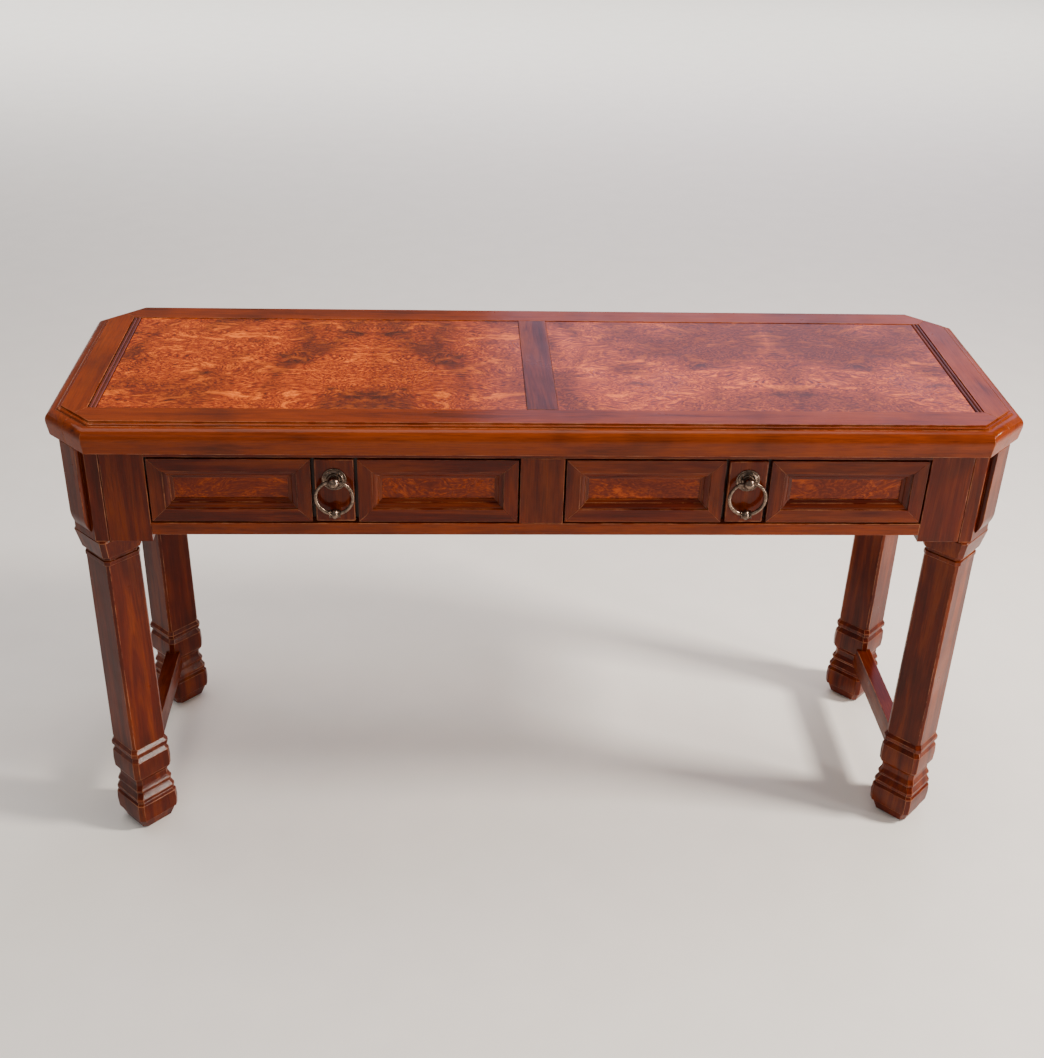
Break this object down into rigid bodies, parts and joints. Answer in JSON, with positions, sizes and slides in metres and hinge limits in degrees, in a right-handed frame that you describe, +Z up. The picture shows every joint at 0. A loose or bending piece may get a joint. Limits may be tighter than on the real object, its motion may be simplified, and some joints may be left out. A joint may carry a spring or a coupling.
{
  "type": "vintage sewing table",
  "caption": "Long wooden side table with a clipped-corner panelled top, moulded square legs, low side stretchers and shallow drawers with ring pulls.",
  "frame": {"origin": "on the floor under the middle of the top", "axes": "+Z up; +X along the top's long side; +Y from the drawer fronts to the back, so the drawers open toward -Y"},
  "size_m": [1.372, 0.457, 0.735],
  "materials": {
    "case_wood": "satin lacquered, reddish brown",
    "burl_veneer": "satin lacquered burl veneer",
    "dark_inlay": "satin lacquered, dark",
    "drawer_wood": "plain, sealed",
    "antique_metal": "antiqued, dark patina with worn high spots",
    "fixing_steel": "zinc plated"
  },
  "bodies": {
    "case": {"top_front_board": "case_wood", "top_back_board": "case_wood", "top_left_board": "case_wood", "top_right_board": "case_wood", "top_divider": "dark_inlay", "burl_panel_left": "burl_veneer", "burl_panel_right": "burl_veneer", "reeded_strip_left": "dark_inlay", "reeded_strip_right": "dark_inlay", "leg_front_left": "case_wood", "leg_front_right": "case_wood", "leg_back_left": "case_wood", "leg_back_right": "case_wood", "pilaster_front_left": "case_wood", "pilaster_front_right": "case_wood", "pilaster_back_left": "case_wood", "pilaster_back_right": "case_wood", "front_top_rail": "case_wood", "front_bottom_rail": "case_wood", "centre_stile": "case_wood", "front_stile_left": "case_wood", "front_stile_right": "case_wood", "back_apron": "case_wood", "side_apron_left": "case_wood", "side_apron_right": "case_wood", "centre_runner": "drawer_wood", "side_runner_left": "drawer_wood", "side_runner_right": "drawer_wood", "centre_kicker": "drawer_wood", "glue_blocks": "drawer_wood", "side_stretcher_left": "case_wood", "side_stretcher_right": "case_wood", "top_screws": "fixing_steel", "floor_glides": "fixing_steel"},
    "drawer_left": {"drawer_left_front_board": "case_wood", "drawer_left_centre_pad": "case_wood", "drawer_left_frame_left": "case_wood", "drawer_left_frame_right": "case_wood", "drawer_left_side_left": "drawer_wood", "drawer_left_side_right": "drawer_wood", "drawer_left_back": "drawer_wood", "drawer_left_bottom": "drawer_wood", "pull_left_plate": "antique_metal", "pull_left_knob": "antique_metal", "pull_left_nut": "fixing_steel"},
    "drawer_right": {"drawer_right_front_board": "case_wood", "drawer_right_centre_pad": "case_wood", "drawer_right_frame_left": "case_wood", "drawer_right_frame_right": "case_wood", "drawer_right_side_left": "drawer_wood", "drawer_right_side_right": "drawer_wood", "drawer_right_back": "drawer_wood", "drawer_right_bottom": "drawer_wood", "pull_right_plate": "antique_metal", "pull_right_knob": "antique_metal", "pull_right_nut": "fixing_steel"},
    "ring_left": {"pull_left_ring": "antique_metal"},
    "ring_right": {"pull_right_ring": "antique_metal"}
  },
  "joints": [
    {"name": "drawer_left_slide", "type": "slide", "parent": "case", "child": "drawer_left", "axis": [0, -1, 0], "range_m": [0, 0.28]},
    {"name": "drawer_right_slide", "type": "slide", "parent": "case", "child": "drawer_right", "axis": [0, -1, 0], "range_m": [0, 0.28]},
    {"name": "ring_left_swing", "type": "hinge", "parent": "drawer_left", "child": "ring_left", "pos_m": [-0.29, -0.2195, 0.648], "axis": [-1, 0, 0], "range_deg": [-2, 155]},
    {"name": "ring_right_swing", "type": "hinge", "parent": "drawer_right", "child": "ring_right", "pos_m": [0.29, -0.2195, 0.648], "axis": [-1, 0, 0], "range_deg": [-2, 155]}
  ]
}
